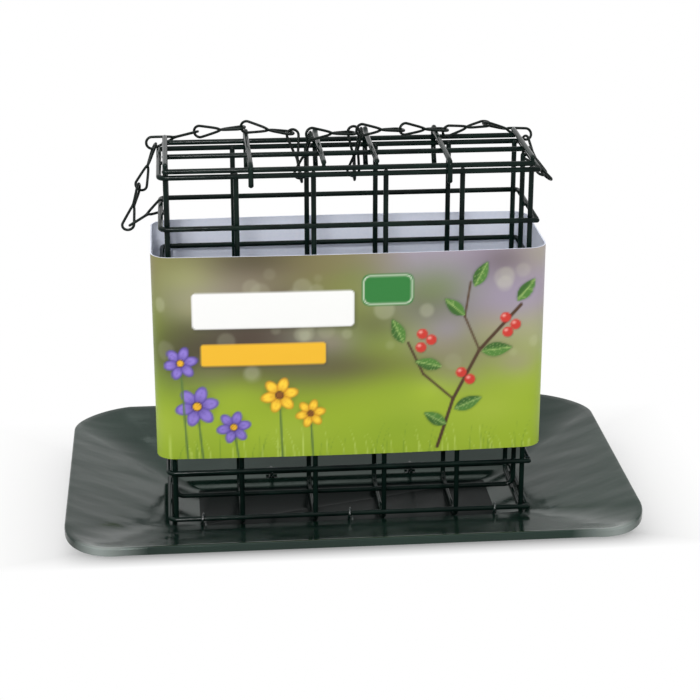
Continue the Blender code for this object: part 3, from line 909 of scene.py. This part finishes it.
def makeSleeve():
    outer, inner = sleeveOutline(0), sleeveOutline(sleeve["card"])
    count = len(outer)
    rows = int(sleeve["height"] / sleeve["cell"])
    heights = sleeve["baseZ"] + sleeve["height"] * np.arange(rows + 1) / rows
    spots = [np.column_stack((outer, np.full(count, z))) for z in heights]
    spots += [np.column_stack((inner, np.full(count, z))) for z in (heights[-1], heights[0])]
    points = np.concatenate(spots)
    faces, kinds = [], []
    for level in range(rows + 3):
        low, high = level * count, ((level + 1) % (rows + 3)) * count
        for i in range(count):
            j = (i + 1) % count
            faces.append((low + i, low + j, high + j, high + i))
        kinds += [0 if level < rows else 1] * count
    mesh = bpy.data.meshes.new("cardSleeve")
    mesh.from_pydata(points.tolist(), [], faces)
    mesh.materials.append(printedMaterial(printLook))
    mesh.materials.append(bareMaterial(bareLook))
    mesh.polygons.foreach_set("material_index", kinds)
    mesh.polygons.foreach_set("use_smooth", [True] * len(faces))
    # the print turns the corners in millimetres and changes from the front's to the back's on the short ends
    x, y, b = ((points - (0, 0, sleeve["baseZ"])) * 1000).T
    halfY = sleeve["halfY"] * 1000
    front = gardenPrint(x + np.sign(x) * np.clip(halfY + y, 0, None), b)
    back = gardenPrint(-x - np.sign(x) * np.clip(halfY - y, 0, None), b)
    share = np.clip(0.5 + y / halfY / 2, 0, 1)
    colours = front + (back - front) * (share ** 2 * (3 - 2 * share))[:, None]
    layer = mesh.color_attributes.new("printColour", "FLOAT_COLOR", "POINT")
    layer.data.foreach_set("color", np.column_stack((colours, np.ones(len(colours)))).ravel())
    mesh.set_sharp_from_angle(angle=radians(sleeve["sharp"]))
    piece = bpy.data.objects.new("cardSleeve", mesh)
    scene.collection.objects.link(piece)
    dress(piece, "sleeve", "card_sleeve")


makeSleeve()
print("stage: card sleeve")

# floor, light and camera: each lamp is a name, place, spread in degrees and power
studio = {"floorSize": 6.0, "floorZ": -0.0002, "paper": 0.82, "paperRough": 0.9, "paperSpecular": 0.1,
          "sideFade": (0.11, 0.155), "frontFade": (-0.036, -0.05), "backFade": (0.06, 0.1), "worldLight": 0.42,
          "aim": (0, 0, 0.06),
          "lamps": (("keyLamp", (-0.4, -0.1, 1.0), 80, 1.7), ("frontLamp", (-0.15, -1.0, 0.6), 9, 1.25),
                    ("fillLamp", (0.9, -0.1, 0.5), 50, 0.4))}
lens = {"sensor": 36, "focal": 100.9, "nearest": 0.01, "place": (-0.0645, -0.7334, 0.3420),
        "aim": (0.00184, 0, 0.06776)}


def makeFloor():
    mesh = bpy.data.meshes.new("studioFloor")
    half, z = studio["floorSize"] / 2, studio["floorZ"]
    corners = [(-half, -half, z), (half, -half, z), (half, half, z), (-half, half, z)]
    mesh.from_pydata(corners, [], [(0, 1, 2, 3)])
    mat, tree, shader = newMaterial("whitePaper")
    shader.inputs["Base Color"].default_value = (studio["paper"],) * 3 + (1,)
    shader.inputs["Roughness"].default_value = studio["paperRough"]
    shader.inputs["Specular IOR Level"].default_value = studio["paperSpecular"]
    # away from the piece the camera sees plain white, near it the paper with its shadow
    path = tree.nodes.new("ShaderNodeLightPath")
    glow = tree.nodes.new("ShaderNodeEmission")
    glow.inputs["Strength"].default_value = 1.0
    both = tree.nodes.new("ShaderNodeMixShader")
    out = tree.nodes["Material Output"]
    _, aside, y = placeOn(tree)
    lift = remap(tree, aside, 0, 1, *studio["sideFade"])
    lift = calc(tree, "MAXIMUM", lift, remap(tree, y, 0, 1, *studio["frontFade"]))
    lift = calc(tree, "MAXIMUM", lift, remap(tree, y, 0, 1, *studio["backFade"]))
    share = calc(tree, "MULTIPLY", lift, path.outputs["Is Camera Ray"])
    tree.links.new(share, both.inputs[0])
    tree.links.new(shader.outputs[0], both.inputs[1])
    tree.links.new(glow.outputs[0], both.inputs[2])
    tree.links.new(both.outputs[0], out.inputs["Surface"])
    mesh.materials.append(mat)
    floor = bpy.data.objects.new("studioFloor", mesh)
    scene.collection.objects.link(floor)


def makeWorld():
    world = bpy.data.worlds.new("studioWorld")
    scene.world = world
    world.use_nodes = True
    tree = world.node_tree
    back = tree.nodes["Background"]
    path = tree.nodes.new("ShaderNodeLightPath")
    level = tree.nodes.new("ShaderNodeMapRange")
    level.inputs["To Min"].default_value = studio["worldLight"]
    level.inputs["To Max"].default_value = 1.0
    seen = calc(tree, "MAXIMUM", path.outputs["Is Camera Ray"], path.outputs["Is Glossy Ray"])
    tree.links.new(seen, level.inputs["Value"])
    back.inputs["Color"].default_value = (1, 1, 1, 1)
    tree.links.new(level.outputs["Result"], back.inputs["Strength"])


def makeLamp(name, place, spread, power):
    data = bpy.data.lights.new(name, "SUN")
    data.angle = radians(spread)
    data.energy = power
    lamp = bpy.data.objects.new(name, data)
    lamp.location = place
    lamp.rotation_euler = (Vector(studio["aim"]) - Vector(place)).to_track_quat("-Z", "Y").to_euler()
    scene.collection.objects.link(lamp)


def makeCamera():
    data = bpy.data.cameras.new("photoCamera")
    data.sensor_width = lens["sensor"]
    data.sensor_fit = "HORIZONTAL"
    data.lens = lens["focal"]
    data.clip_start = lens["nearest"]
    camera = bpy.data.objects.new("photoCamera", data)
    camera.location = lens["place"]
    camera.rotation_euler = (Vector(lens["aim"]) - camera.location).to_track_quat("-Z", "Y").to_euler()
    scene.collection.objects.link(camera)
    scene.camera = camera


makeFloor()
makeWorld()
for lamp in studio["lamps"]:
    makeLamp(*lamp)
makeCamera()
scene.view_settings.view_transform = "Standard"
print("stage: floor, light and camera")
